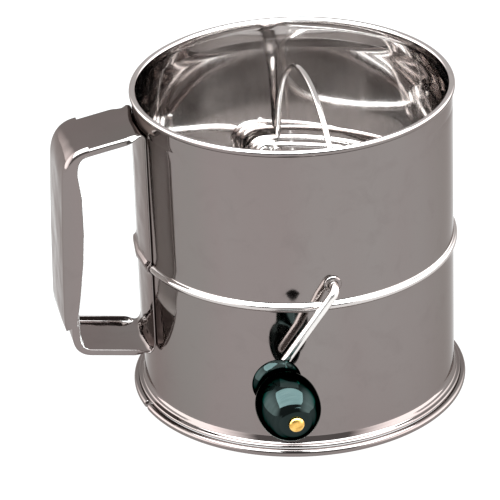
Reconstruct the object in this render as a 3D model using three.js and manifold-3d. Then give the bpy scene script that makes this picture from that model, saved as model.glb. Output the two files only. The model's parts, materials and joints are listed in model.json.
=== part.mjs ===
// Rotary flour sifter: a polished steel drum with a woven hemispherical sieve, a wire agitator
// on a hand crank with a turned knob, and a D-shaped strap handle.
// Millimetres, +Z up. The sifter stands on z = 0. The handle points to -X and the crank to -Y.
import * as THREE from 'three';
import { mergeVertices } from 'three/addons/utils/BufferGeometryUtils.js';
import Module from 'manifold-3d';

const wasm = await Module();
wasm.setup();

// Driving dimensions
const SHEET = 0.6; // drum sheet thickness
const DRUM_R = 82.5; // outside radius of the drum wall
const DRUM_H = 172; // height of the rim
const HEM_DEPTH = 12; // depth of the folded hem below the rim
const BEAD_Z = 84.5; // height of the rolled bead that carries the sieve
const BEAD_OUT = 2; // how far the bead stands out of the wall
const BEAD_HALF = 2.6; // half height of the bead
const FLARE_Z = 10; // where the wall starts to flare to the base
const BASE_R = 88.5; // outside radius of the base ring
const BASE_WIRE = 2.1; // radius of the base ring's section
const RIM_WIRE = 0.9; // radius of the wire inside the rolled rim
const SHAFT_HOLE_R = 3.5; // radius of the holes through the wall for the bushings
const GAP = 0.3; // clearance between neighbouring pieces

const SHAFT_Z = 96.5; // height of the crank shaft
const ROD_R = 2.4; // crank rod radius
const CRANK_R = 55; // shaft axis to knob axis
const CRANK_TILT = THREE.MathUtils.degToRad(37); // arm from straight down, towards the handle
const ARM_OUT = 8; // wall to the plane of the arm
const ELBOW = 4.5; // size of the rod's bend at the shaft
const WRIST = 3; // size of the rod's bend at the knob
const ROD_END = 58.2; // wall to the outer end of the rod
const ROD_BACK = 4.6; // how far the shaft's tail stands out of the rear wall

const CAGE_R = 76.3; // radius of the sphere that the agitator wires follow
const WIRE_R = 1.6; // agitator wire radius
const WRAP_R = 8.1; // radius of an outer turn round the shaft
const INNER_WRAP_R = 4.4; // radius of an inner turn round the shaft
const LAYER = 4; // spacing of the turns along the shaft
const SIEVE_R = 79.3; // inside radius of the sieve bowl
const SIEVE_T = 0.9; // thickness of the woven wire

const KNOB_BORE = 2.5;
const KNOB_START = 10.8; // wall to the knob's inner end
const KNOB_LENGTH = 46.4;
const KNOB_R = 16; // greatest radius of the knob
const TACK_OUT = 59.8; // wall to the outer face of the end cap

const STRAP_W = 39; // handle strap width
const STRAP_T = 1.3; // handle strap thickness
const HANDLE_REACH = 127.5; // drum axis to the outer face of the grip
const GRIP_T = 1; // grip sheet thickness
const GRIP_DEPTH = 10.4; // how far the grip's flanges reach in from its face

const AROUND = 48; // facets round the drum
const DRUM_X = (HANDLE_REACH - BASE_R) / 2; // drum axis, from the middle of the whole sifter
const DRUM_Y = (DRUM_R + TACK_OUT - BASE_R) / 2;

const v2 = (x, y) => new THREE.Vector2(x, y);
const v3 = (x, y, z) => new THREE.Vector3(x, y, z);

// Geometry helpers

// A ring turned about the drum axis from a closed profile of [radius, height] points.
function turned(profile, segments = AROUND) {
  const points = [...profile, profile[0]].map(([r, z]) => v2(r, z));
  return new THREE.LatheGeometry(points, segments).rotateX(Math.PI / 2);
}

// The same about the Y axis, for washers, bushings and the knob; heights run towards -Y.
function turnedAlongY(profile, segments = 16) {
  return turned(profile, segments).rotateX(Math.PI / 2);
}

function tubeRing(r, z, radius, sides) {
  const profile = [];
  for (let i = 0; i < sides; i++) {
    const a = ((i + 0.5) / sides) * 2 * Math.PI - Math.PI / 2;
    profile.push([r + radius * Math.cos(a), z + radius * Math.sin(a)]);
  }
  return turned(profile);
}

function toSolid(geometry) {
  const plain = geometry.clone();
  plain.deleteAttribute('normal');
  plain.deleteAttribute('uv');
  const merged = mergeVertices(plain, 1e-4);
  const mesh = new wasm.Mesh({
    numProp: 3,
    vertProperties: new Float32Array(merged.attributes.position.array),
    triVerts: new Uint32Array(merged.index.array),
  });
  return new wasm.Manifold(mesh);
}

function toGeometry(manifold) {
  const mesh = manifold.getMesh();
  const geometry = new THREE.BufferGeometry();
  geometry.setAttribute('position', new THREE.BufferAttribute(mesh.vertProperties, 3));
  geometry.setIndex(new THREE.BufferAttribute(mesh.triVerts, 1));
  geometry.computeVertexNormals();
  return geometry;
}

// A path through listed points, stepped from point to point instead of by equal lengths,
// so that tight turns get short steps and long sweeps get long ones.
class Route extends THREE.Curve {
  constructor(points) {
    super();
    this.points = points;
  }

  getPoint(t, target = new THREE.Vector3()) {
    const place = Math.min(Math.max(t, 0), 1) * (this.points.length - 1);
    const i = Math.min(Math.floor(place), this.points.length - 2);
    return target.lerpVectors(this.points[i], this.points[i + 1], place - i);
  }

  getUtoTmapping(u) {
    return u;
  }
}

function rodAlong(points, radius, sides) {
  const section = new THREE.Shape(
    Array.from({ length: sides }, (_, i) => {
      const a = (i / sides) * 2 * Math.PI;
      return v2(radius * Math.cos(a), radius * Math.sin(a));
    }),
  );
  const settings = { steps: points.length - 1, bevelEnabled: false, extrudePath: new Route(points) };
  return new THREE.ExtrudeGeometry(section, settings);
}

// A plate with a side outline of [reach, height] points, centred on the handle's plane.
function handlePlate(outline, width) {
  const shape = new THREE.Shape(outline.map(([reach, z]) => v2(-reach, z)));
  const plate = new THREE.ExtrudeGeometry(shape, { depth: width, bevelEnabled: false });
  return plate.rotateX(Math.PI / 2).translate(0, width / 2, 0);
}

// Drum

// Outside wall of the drum from the flare up to the underside of the rim, moved out by an offset.
function wallOutside(offset) {
  const r = DRUM_R + offset;
  return [
    [r + 3.4, 5],
    [r + 1.2, 7.4],
    [r, FLARE_Z],
    [r, BEAD_Z - BEAD_HALF],
    [r + BEAD_OUT * 0.75, BEAD_Z - BEAD_HALF * 0.6],
    [r + BEAD_OUT, BEAD_Z],
    [r + BEAD_OUT * 0.75, BEAD_Z + BEAD_HALF * 0.6],
    [r, BEAD_Z + BEAD_HALF],
    [r, DRUM_H - HEM_DEPTH],
    [r, DRUM_H - 3.4],
  ];
}

const RIM_R = DRUM_R - SHEET; // middle of the rolled rim
const RIM_Z = DRUM_H - RIM_WIRE - GAP - SHEET; // height of the wire inside the rim

// The rim is rolled three quarters of the way round its wire, and opens inwards and down.
function rimRoll(radius, from, to, steps) {
  const points = [];
  for (let i = 0; i <= steps; i++) {
    const a = from + ((to - from) * i) / steps;
    points.push([RIM_R + radius * Math.cos(a), RIM_Z + radius * Math.sin(a)]);
  }
  return points;
}

function drumShell() {
  const inner = RIM_WIRE + GAP;
  const outer = inner + SHEET;
  const from = -0.35 * Math.PI;
  const to = 1.15 * Math.PI;
  const profile = [
    ...wallOutside(0),
    ...rimRoll(outer, from, to, 6),
    ...rimRoll(inner, to, from, 6),
    ...wallOutside(-SHEET).reverse(),
  ];
  const hole = new THREE.CylinderGeometry(SHAFT_HOLE_R, SHAFT_HOLE_R, 4 * DRUM_R, 20);
  return toGeometry(toSolid(turned(profile)).subtract(toSolid(hole.translate(0, 0, SHAFT_Z))));
}

function baseRing() {
  const flat = BASE_WIRE * Math.cos(Math.PI / 8); // middle of an eight-sided section to its flats
  return tubeRing(BASE_R - flat, flat, BASE_WIRE, 8);
}

function rimWire() {
  return tubeRing(RIM_R, RIM_Z, RIM_WIRE, 6);
}

// Sieve

// Points of a sphere round the shaft's middle, from the axis below up to a height.
function bowlLine(radius, top, steps) {
  const last = Math.acos((SHAFT_Z - top) / radius);
  const points = [];
  for (let i = 0; i <= steps; i++) {
    const a = (last * i) / steps;
    points.push([radius * Math.sin(a), SHAFT_Z - radius * Math.cos(a)]);
  }
  return points;
}

function sieveBowl() {
  const top = BEAD_Z - 2.2;
  const inside = bowlLine(SIEVE_R, top, 9);
  const outside = bowlLine(SIEVE_R + SIEVE_T, top, 9);
  const line = [...outside, ...inside.reverse()].map(([r, z]) => v2(r, z));
  return new THREE.LatheGeometry(line, AROUND).rotateX(Math.PI / 2);
}

// The folded band that grips the edge of the woven bowl and rests in the bead.
function sieveBand() {
  const inside = 78.4;
  const outside = DRUM_R - SHEET - GAP;
  const top = BEAD_Z + 2.4;
  return turned([
    [inside, BEAD_Z - 1.9],
    [outside, BEAD_Z - 1.9],
    [outside, top],
    [outside - 0.9, top],
    [outside - 1.1, BEAD_Z - 0.6],
    [inside, BEAD_Z - 0.6],
  ]);
}

// Crank

const armWay = v3(-Math.sin(CRANK_TILT), 0, -Math.cos(CRANK_TILT));
const outWay = v3(0, -1, 0);

function bend(corner, from, to, size, steps = 5) {
  const start = corner.clone().addScaledVector(from, -size);
  const end = corner.clone().addScaledVector(to, size);
  return new THREE.QuadraticBezierCurve3(start, corner, end).getPoints(steps);
}

function crankRod() {
  const axis = (out) => v3(0, -(DRUM_R + out), SHAFT_Z);
  const elbow = axis(ARM_OUT);
  const wrist = elbow.clone().addScaledVector(armWay, CRANK_R);
  const end = wrist.clone().addScaledVector(outWay, ROD_END - ARM_OUT);
  const points = [
    v3(0, DRUM_R + ROD_BACK, SHAFT_Z),
    ...bend(elbow, outWay, armWay, ELBOW),
    ...bend(wrist, armWay, outWay, WRIST),
    end,
  ];
  return rodAlong(points, ROD_R, 10);
}

// Moves a piece made about the Y axis onto the shaft, its start a distance out of the front wall.
const onShaft = (geometry, out) => geometry.translate(0, -(DRUM_R + out), SHAFT_Z);

function onKnobAxis(geometry, out) {
  return onShaft(geometry, out).translate(armWay.x * CRANK_R, 0, armWay.z * CRANK_R);
}

const washer = (bore, radius, length) =>
  turnedAlongY([[bore, 0], [radius, 0], [radius, length], [bore, length]]);

// A flanged sleeve riveted through the wall: a flange outside, a barrel, and a flange inside.
function bushing() {
  const bore = ROD_R + 0.08;
  const barrel = 3.2;
  const flange = 4.5;
  const inside = -(SHEET + GAP + 0.2);
  return turnedAlongY([
    [bore, inside - 0.8],
    [flange, inside - 0.8],
    [flange, inside],
    [barrel, inside],
    [barrel, GAP],
    [flange, GAP],
    [flange, GAP + 0.7],
    [bore, GAP + 1.1],
  ]);
}

const rearSide = (geometry) => geometry.rotateZ(Math.PI);

// The push-on fastener is a dished disc that holds the shaft's tail.
function pushNut() {
  const bore = ROD_R + 0.25;
  return turnedAlongY([[bore, 0.9], [3.4, 0.2], [5.2, 0], [5.2, 0.6], [3.6, 0.9], [bore, 1.7]]);
}

// Agitator wires, placed from the middle of the shaft. A clock angle is taken from straight up,
// clockwise as seen from the crank's side.

function turns(fromDeg, toDeg, y, radius, steps) {
  const points = [];
  for (let i = 1; i <= steps; i++) {
    const t = i / steps;
    const a = THREE.MathUtils.degToRad(fromDeg + (toDeg - fromDeg) * t);
    const r = THREE.MathUtils.lerp(radius[0], radius[1], t);
    points.push(v3(r * Math.sin(a), THREE.MathUtils.lerp(y[0], y[1], t), r * Math.cos(a)));
  }
  return points;
}

const HUB = Math.sqrt(CAGE_R ** 2 - WRAP_R ** 2); // shaft's middle to the outermost turn
const SWEEP = 26; // steps in a sweep from hub to hub

// How much a sweep is drawn in along the shaft so that its end reaches an inner layer of turns.
function drawnIn(t, layerAtStart, layerAtEnd) {
  const near = (d) => 1 - THREE.MathUtils.smoothstep(d, 0.05, 0.3);
  return (LAYER * (layerAtStart * near(t) + layerAtEnd * near(1 - t))) / HUB;
}

// A half circle over the shaft, in an upright plane beside it, from the front hub to the rear hub.
function archOver(layerAtEnd) {
  const points = [];
  for (let i = 0; i <= SWEEP; i++) {
    const t = i / SWEEP;
    const k = 1 - drawnIn(t, 0, layerAtEnd);
    points.push(v3(WRAP_R, -HUB * Math.cos(Math.PI * t) * k, HUB * Math.sin(Math.PI * t)));
  }
  return points;
}

// A half circle beside the shaft. Angles run from the rear hub (0) by the right side to the front
// hub (180) and by the left side back to the rear hub (360).
function sweepBeside(from, to, height, layers) {
  const points = [];
  for (let i = 0; i <= SWEEP; i++) {
    const t = i / SWEEP;
    const a = THREE.MathUtils.degToRad(from + (to - from) * t);
    const z = height(t);
    const r = Math.sqrt(CAGE_R ** 2 - z ** 2);
    const k = 1 - drawnIn(t, layers[0], layers[1]);
    points.push(v3(r * Math.sin(a), r * Math.cos(a) * k, z));
  }
  return points;
}

function placeWire(points) {
  return rodAlong(points.map((p) => p.add(v3(0, 0, SHAFT_Z))), WIRE_R, 6);
}

// One wire: a hook at the front hub, the arch, a three-quarter turn at the rear hub, the sweep
// beside the shaft and a second hook at the front hub.
function archWirePoints(rearLayer) {
  const rear = HUB - LAYER * rearLayer;
  const front = -(HUB - LAYER);
  const flat = (y) => [y, y];
  const height = (t) => WRAP_R - 3 * Math.sin(Math.PI * t);
  return [
    ...turns(225, 95, flat(-HUB), flat(WRAP_R), 6),
    ...archOver(rearLayer),
    ...turns(90, 352, flat(rear), flat(WRAP_R), 13),
    ...sweepBeside(0, 180, height, [rearLayer, 1]),
    ...turns(0, -100, flat(front), flat(WRAP_R), 5),
  ];
}

const upperArchWire = () => placeWire(archWirePoints(0));

function lowerArchWire() {
  const turned180 = archWirePoints(1).map((p) => v3(-p.x, p.y, -p.z));
  return placeWire(turned180);
}

// The level hoop starts with inner turns inside the other wires' turns at the rear hub, goes round
// by the right, takes a full turn at the front hub and comes back by the left.
function hoopWire() {
  const layer = (n) => HUB - LAYER * n;
  const right = (t) => WRAP_R * (1 - t) - 3 * Math.sin(Math.PI * t) - WRAP_R * t;
  const left = (t) => -WRAP_R + 8.2 * Math.sin(Math.PI * t);
  return placeWire([
    v3(INNER_WRAP_R, layer(0), 0),
    ...turns(-630, -180, [layer(0), layer(2.05)], [INNER_WRAP_R, INNER_WRAP_R], 20),
    ...turns(-180, -8, [layer(2.05), layer(2.05)], [INNER_WRAP_R, WRAP_R], 8),
    ...sweepBeside(0, 180, right, [2.05, 2.05]),
    ...turns(180, 530, [-layer(2.05), -layer(3)], [WRAP_R, WRAP_R], 17),
    ...sweepBeside(180, 360, left, [3, 3.1]),
    ...turns(180, 20, [layer(3.1), layer(3.1)], [WRAP_R, WRAP_R], 8),
  ]);
}

// Knob

function knob() {
  const outline = new THREE.SplineCurve([
    v2(9.6, 0.6),
    v2(12.3, 2.4),
    v2(12.6, 4.2),
    v2(11, 8.6),
    v2(12.2, 14),
    v2(15.2, 21),
    v2(KNOB_R, 28),
    v2(15, 36),
    v2(11.6, 42.6),
    v2(8, 45.6),
  ]);
  const profile = [
    [KNOB_BORE, 2.4],
    [4.6, 0],
    [8.8, 0],
    ...outline.getPoints(13).map((p) => [p.x, p.y]),
    [5.6, KNOB_LENGTH],
    [KNOB_BORE, KNOB_LENGTH],
  ];
  return onKnobAxis(turnedAlongY(profile, 24), KNOB_START);
}

// The domed brass end cap is closed over the rod's end.
function knobTack() {
  const start = KNOB_START + KNOB_LENGTH + GAP;
  const length = TACK_OUT - start;
  const inside = ROD_R + 0.1;
  const cap = [
    [0, ROD_END + GAP - start],
    [inside, ROD_END + GAP - start],
    [inside, 0],
    [3.9, 0],
    [3.9, 0.8],
    [3.2, length * 0.72],
    [1.8, length * 0.94],
    [0, length],
  ];
  const line = cap.map(([r, z]) => v2(r, z));
  return onKnobAxis(new THREE.LatheGeometry(line, 16).rotateX(Math.PI), start);
}

// Handle

// Middle line of the strap, seen from the side: out from the wall, down the grip and back.
function strapLine() {
  const path = new THREE.CurvePath();
  const top = [v2(79, 161.1), v2(109, 156.1), v2(121.8, 154.3), v2(122, 140)];
  const bottom = [v2(123.4, 51), v2(123.6, 40), v2(114.3, 38.5), v2(79, 33)];
  path.add(new THREE.LineCurve(top[0], top[1]));
  path.add(new THREE.QuadraticBezierCurve(top[1], top[2], top[3]));
  path.add(new THREE.LineCurve(top[3], bottom[0]));
  path.add(new THREE.QuadraticBezierCurve(bottom[0], bottom[1], bottom[2]));
  path.add(new THREE.LineCurve(bottom[2], bottom[3]));
  return path;
}

// The middle line moved to one side, with few points where it runs straight.
function besideLine(path, offset) {
  const points = [];
  for (const curve of path.curves) {
    const steps = curve.isLineCurve ? 1 : 8;
    for (let i = 0; i <= steps; i++) {
      const p = curve.getPoint(i / steps);
      const t = curve.getTangent(i / steps);
      points.push([p.x - t.y * offset, p.y + t.x * offset]);
    }
  }
  const stepTo = (i) => Math.hypot(points[i][0] - points[i - 1][0], points[i][1] - points[i - 1][1]);
  return points.filter((_, i) => i === 0 || stepTo(i) > 0.01);
}

// The strap's back runs down the wall and steps out over the bead.
function strapBack() {
  const low = 32;
  const high = 160.5;
  const face = (offset) => {
    const line = wallOutside(offset).filter(([, z]) => z > low && z < DRUM_H - HEM_DEPTH);
    return [[DRUM_R + offset, low], ...line, [DRUM_R + offset, high]];
  };
  const ring = toSolid(turned([...face(GAP + STRAP_T), ...face(GAP).reverse()], 2 * AROUND));
  const window = new THREE.BoxGeometry(40, STRAP_W, DRUM_H).translate(-DRUM_R, 0, DRUM_H / 2);
  return ring.intersect(toSolid(window));
}

function handleStrap() {
  const line = strapLine();
  const half = STRAP_T / 2;
  const outline = [...besideLine(line, half), ...besideLine(line, -half).reverse()];
  const loop = toSolid(handlePlate(outline, STRAP_W));
  const drum = new THREE.CylinderGeometry(DRUM_R + GAP, DRUM_R + GAP, 2 * DRUM_H, 2 * AROUND);
  return toGeometry(loop.subtract(toSolid(drum.rotateX(Math.PI / 2))).add(strapBack()));
}

// The grip is a channel that hooks over both edges of the strap.
function handleGrip() {
  const top = 142;
  const bottom = 53;
  const topReach = 124.6; // the face leans in from HANDLE_REACH to this at the top
  const steps = 10;
  const deepest = 0.6; // share of the grip's height at which the flanges reach furthest in
  const lowest = THREE.MathUtils.lerp(bottom, top, 1 / steps);
  const face = (z) => THREE.MathUtils.mapLinear(z, lowest, top, HANDLE_REACH, topReach);
  const outside = [];
  const flange = [];
  for (let i = 0; i <= steps; i++) {
    const t = i / steps;
    const z = THREE.MathUtils.lerp(bottom, top, t);
    const roundOff = i === 0 || i === steps ? 0.6 : 0;
    outside.push([face(z) - roundOff, z]);
    const fade = t < deepest ? 4.9 * (1 - t / deepest) ** 2 : 1.9 * ((t - deepest) / (1 - deepest)) ** 2;
    flange.push([face(z) - GRIP_DEPTH + fade, z]);
  }
  const inner = STRAP_W + 2 * GAP;
  const shell = toSolid(handlePlate([...outside, ...flange.reverse()], inner + 2 * GRIP_T));
  const pocketFace = [[face(bottom) - GRIP_T - 0.1, bottom - 1], [face(top) - GRIP_T - 0.6, top + 1]];
  const insideReach = HANDLE_REACH - 2 * GRIP_DEPTH; // well inside the flanges' edges
  const pocketBack = [[insideReach, top + 1], [insideReach, bottom - 1]];
  const pocket = toSolid(handlePlate([...pocketFace, ...pocketBack], inner));
  return toGeometry(shell.subtract(pocket));
}

// Materials
const steel = () => new THREE.MeshStandardMaterial({ color: 0xb9b4b0, roughness: 0.12, metalness: 1 });
const wireSteel = () => new THREE.MeshStandardMaterial({ color: 0xa8a5a2, roughness: 0.28, metalness: 1 });
const mesh = () => new THREE.MeshStandardMaterial({ color: 0x9c9a98, roughness: 0.35, metalness: 1 });
const lacquer = () => new THREE.MeshStandardMaterial({ color: 0x06231c, roughness: 0.1, metalness: 0 });
const brass = () => new THREE.MeshStandardMaterial({ color: 0xc8963e, roughness: 0.25, metalness: 1 });

const inFront = (out) => (geometry) => onShaft(geometry, out);
const behind = (out) => (geometry) => {
  const turnedRound = rearSide(geometry.translate(0, -(DRUM_R + out), 0));
  return turnedRound.translate(0, 0, SHAFT_Z);
};

const pieces = [
  ['drum_shell', drumShell(), steel()],
  ['rim_wire', rimWire(), wireSteel()],
  ['base_ring', baseRing(), steel()],
  ['sieve_bowl', sieveBowl(), mesh()],
  ['sieve_band', sieveBand(), steel()],
  ['handle_strap', handleStrap(), steel()],
  ['handle_grip', handleGrip(), steel()],
  ['front_bushing', inFront(0)(bushing()), steel()],
  ['rear_bushing', behind(0)(bushing()), steel()],
  ['crank_rod', crankRod(), wireSteel()],
  ['front_washer', inFront(-3.6)(washer(ROD_R + 0.25, 5, 0.8)), steel()],
  ['rear_washer', behind(1.7)(washer(ROD_R + 0.25, 5, 0.8)), steel()],
  ['rear_push_nut', behind(2.8)(pushNut()), wireSteel()],
  ['agitator_upper_wire', upperArchWire(), wireSteel()],
  ['agitator_lower_wire', lowerArchWire(), wireSteel()],
  ['agitator_hoop', hoopWire(), wireSteel()],
  ['knob', knob(), lacquer()],
  ['knob_tack', knobTack(), brass()],
];

const sifter = new THREE.Group();
for (const [name, geometry, material] of pieces) {
  const piece = new THREE.Mesh(geometry, material);
  piece.name = name;
  piece.position.set(DRUM_X, DRUM_Y, 0);
  sifter.add(piece);
}

export default sifter;
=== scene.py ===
"""The looks of the rotary flour sifter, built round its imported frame.

Shapes are worked out in millimetres with the drum's axis at x = y = 0 and the floor at z = 0,
the handle towards -X and the crank towards -Y. A piece is moved onto the frame's drum axis and
turned into metres when its mesh is made.
"""
import json
import math

import bmesh
import bpy
import numpy as np
from mathutils import Matrix, Vector


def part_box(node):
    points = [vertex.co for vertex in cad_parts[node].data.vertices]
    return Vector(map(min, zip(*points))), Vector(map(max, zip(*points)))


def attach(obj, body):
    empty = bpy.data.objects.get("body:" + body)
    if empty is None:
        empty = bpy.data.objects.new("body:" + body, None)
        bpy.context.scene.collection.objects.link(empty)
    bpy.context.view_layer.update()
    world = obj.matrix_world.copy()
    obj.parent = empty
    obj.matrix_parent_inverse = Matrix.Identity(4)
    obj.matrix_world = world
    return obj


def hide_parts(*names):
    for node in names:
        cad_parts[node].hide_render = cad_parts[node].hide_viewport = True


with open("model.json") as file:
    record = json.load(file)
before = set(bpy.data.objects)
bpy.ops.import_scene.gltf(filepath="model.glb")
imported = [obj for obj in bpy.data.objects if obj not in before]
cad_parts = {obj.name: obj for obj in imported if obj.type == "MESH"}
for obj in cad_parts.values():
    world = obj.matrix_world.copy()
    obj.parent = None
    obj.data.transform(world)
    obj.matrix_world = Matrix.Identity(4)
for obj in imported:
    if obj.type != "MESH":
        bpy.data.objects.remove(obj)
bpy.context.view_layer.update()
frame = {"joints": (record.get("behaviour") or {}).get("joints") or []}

MM = 0.001


def node_box(node):
    low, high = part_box(node)
    return np.array(low) / MM, np.array(high) / MM


# Driving sizes, taken from the frame
shell_low, shell_high = node_box("drum_shell")
AXIS = (shell_low + shell_high)[:2] / 2
JOINTS = {joint["name"]: np.array(joint["pos_m"]) / MM for joint in frame["joints"]}
SHAFT_Z = JOINTS["crank_turn"][2]
KNOB_X = JOINTS["knob_spin"][0] - AXIS[0]
KNOB_Z = JOINTS["knob_spin"][2]
FLARE_OUT = 3.4  # how far the flare stands out of the drum wall
DRUM_R = (shell_high - shell_low)[0] / 2 - FLARE_OUT
DRUM_H = shell_high[2]
BASE_R = (node_box("base_ring")[1] - node_box("base_ring")[0])[0] / 2
HANDLE_REACH = AXIS[0] - node_box("handle_grip")[0][0]
REAR_OUT = node_box("crank_rod")[1][1] - AXIS[1] - DRUM_R
TACK_OUT = AXIS[1] - node_box("knob_tack")[0][1] - DRUM_R

SHEET = 0.6
GAP = 0.3
HEM_DEPTH = 12
BEAD_Z = 84.5
BEAD_OUT = 2
ROD_R = 2.4
ARM_OUT = 8  # wall to the plane of the crank arm
KNOB_START = 10.8  # wall to the knob's inner end
KNOB_LENGTH = 46.4
ROD_END = 58.2
CAGE_R = 76.3  # sphere that the agitator wires follow
WIRE_R = 1.6
WRAP_R = 8.1  # radius of an outer turn round the shaft
INNER_WRAP_R = 4.4
LAYER = 4  # spacing of the turns along the shaft
HUB = math.sqrt(CAGE_R**2 - WRAP_R**2)
SIEVE_R = 79.75  # middle of the woven wire
STRAP_W = 39


# Meshes


def make_piece(name, points, faces, body, slot, material, nodes, sharp=38, weld=0.0):
    """A piece from millimetre points (n, 3) and a list of face arrays, riding on a body for CAD nodes."""
    mesh = bpy.data.meshes.new(name)
    corners = np.concatenate([f.ravel() for f in faces]).astype(np.int32)
    sizes = np.concatenate([np.full(len(f), f.shape[1], np.int32) for f in faces])
    placed = (np.asarray(points, float) + [AXIS[0], AXIS[1], 0]) * MM
    mesh.vertices.add(len(placed))
    mesh.vertices.foreach_set("co", placed.astype(np.float32).ravel())
    mesh.loops.add(len(corners))
    mesh.loops.foreach_set("vertex_index", corners)
    mesh.polygons.add(len(sizes))
    mesh.polygons.foreach_set("loop_start", np.cumsum(sizes, dtype=np.int32) - sizes)
    mesh.update(calc_edges=True)
    mesh.validate()
    bm = bmesh.new()
    bm.from_mesh(mesh)
    if weld:
        bmesh.ops.remove_doubles(bm, verts=bm.verts, dist=weld * MM)
    bmesh.ops.recalc_face_normals(bm, faces=bm.faces)
    bm.to_mesh(mesh)
    bm.free()
    mesh.polygons.foreach_set("use_smooth", np.ones(len(mesh.polygons), bool))
    mesh.set_sharp_from_angle(angle=math.radians(sharp))
    mesh.materials.append(material)
    piece = bpy.data.objects.new(name, mesh)
    bpy.context.scene.collection.objects.link(piece)
    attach(piece, body)
    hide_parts(*nodes)
    return piece


def give_some(piece, material, chosen):
    """Gives a second material to the faces that chosen picks by middle (in millimetres) and normal."""
    piece.data.materials.append(material)
    for face in piece.data.polygons:
        middle = np.array(face.center) / MM - [AXIS[0], AXIS[1], 0]
        if chosen(middle, np.array(face.normal)):
            face.material_index = 1


def cut_with(piece, points, faces):
    """Cuts a closed shape out of a piece."""
    mesh = bpy.data.meshes.new("cutter")
    placed = (points + [AXIS[0], AXIS[1], 0]) * MM
    mesh.from_pydata(placed.tolist(), [], [face for group in faces for face in group.tolist()])
    cutter = bpy.data.objects.new("cutter", mesh)
    bpy.context.scene.collection.objects.link(cutter)
    bm = bmesh.new()
    bm.from_mesh(mesh)
    bmesh.ops.recalc_face_normals(bm, faces=bm.faces)
    bm.to_mesh(mesh)
    bm.free()
    modifier = piece.modifiers.new("cut", "BOOLEAN")
    modifier.operation = "DIFFERENCE"
    modifier.solver = "MANIFOLD"
    modifier.object = cutter
    evaluated = piece.evaluated_get(bpy.context.evaluated_depsgraph_get())
    result = bpy.data.meshes.new_from_object(evaluated)
    piece.modifiers.clear()
    old = piece.data
    piece.data = result
    bpy.data.meshes.remove(old)
    bpy.data.objects.remove(cutter)
    while len(result.materials) > 1:
        result.materials.pop()
    result.name = piece.name


def grid_faces(rows, columns, wrap_rows=False, wrap_columns=True):
    i = np.arange(rows if wrap_rows else rows - 1)[:, None]
    j = np.arange(columns if wrap_columns else columns - 1)[None, :]
    i2, j2 = (i + 1) % rows, (j + 1) % columns
    corners = (i * columns + j, i * columns + j2, i2 * columns + j2, i2 * columns + j)
    return np.stack(corners, -1).reshape(-1, 4)


def turned(outline, around=256, warp=None):
    """A ring about the drum's axis from a closed outline of (radius, height) points."""
    outline = np.asarray(outline, float)
    angle = np.arange(around) / around * 2 * np.pi
    r = np.broadcast_to(outline[:, 0], (around, len(outline))).copy()
    z = np.broadcast_to(outline[:, 1], r.shape).copy()
    if warp is not None:
        r, z = warp(angle[:, None], r, z)
    points = np.stack([r * np.cos(angle)[:, None], r * np.sin(angle)[:, None], z], -1)
    return points.reshape(-1, 3), [grid_faces(around, len(outline), wrap_rows=True)]


def turned_along_y(outline, around=48, x=0, z=None):
    """A ring about a line along Y; the outline is (radius, distance out of the front wall)."""
    outline = np.asarray(outline, float)
    angle = np.arange(around) / around * 2 * np.pi
    r, out = outline[:, 0], outline[:, 1]
    px = x + r * np.sin(angle)[:, None]
    pz = (SHAFT_Z if z is None else z) + r * np.cos(angle)[:, None]
    py = np.broadcast_to(-(DRUM_R + out), px.shape)
    return np.stack([px, py, pz], -1).reshape(-1, 3), [grid_faces(around, len(outline), wrap_rows=True)]


def arc(centre, radius, start, end, steps):
    a = np.radians(np.linspace(start, end, steps + 1))
    return np.stack([centre[0] + radius * np.cos(a), centre[1] + radius * np.sin(a)], 1)


def bezier(p0, p1, p2, steps):
    t = np.linspace(0, 1, steps + 1)[:, None]
    p0, p1, p2 = (np.asarray(p, float) for p in (p0, p1, p2))
    return (1 - t) ** 2 * p0 + 2 * t * (1 - t) * p1 + t**2 * p2


def line(p0, p1, steps=1):
    return np.linspace(p0, p1, steps + 1)


def joined(*parts):
    """Runs of points joined end to end, without repeated points."""
    points = np.concatenate([np.atleast_2d(p) for p in parts])
    keep = np.r_[True, np.linalg.norm(np.diff(points, axis=0), axis=1) > 1e-4]
    return points[keep]


def spline(points, steps):
    """A smooth curve through all the points (uniform Catmull-Rom)."""
    p = np.asarray(points, float)
    p = np.concatenate([[2 * p[0] - p[1]], p, [2 * p[-1] - p[-2]]])
    t = np.linspace(0, 1, steps, endpoint=False)[:, None]
    runs = []
    for a, b, c, d in zip(p, p[1:], p[2:], p[3:]):
        square, cube = 2 * a - 5 * b + 4 * c - d, 3 * b - a - 3 * c + d
        runs.append(0.5 * (2 * b + (c - a) * t + square * t**2 + cube * t**3))
    return np.concatenate([*runs, p[-2:-1]])


def evenly(points, spacing, smoothing=0):
    """The path with its points a spacing apart, eased where it has corners."""
    along = np.r_[0, np.cumsum(np.linalg.norm(np.diff(points, axis=0), axis=1))]
    count = max(3, int(along[-1] / spacing))
    s = np.linspace(0, along[-1], count)
    even = np.stack([np.interp(s, along, points[:, k]) for k in range(points.shape[1])], 1)
    for _ in range(smoothing):
        even[1:-1] = (even[:-2] + 2 * even[1:-1] + even[2:]) / 4
    return even


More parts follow.
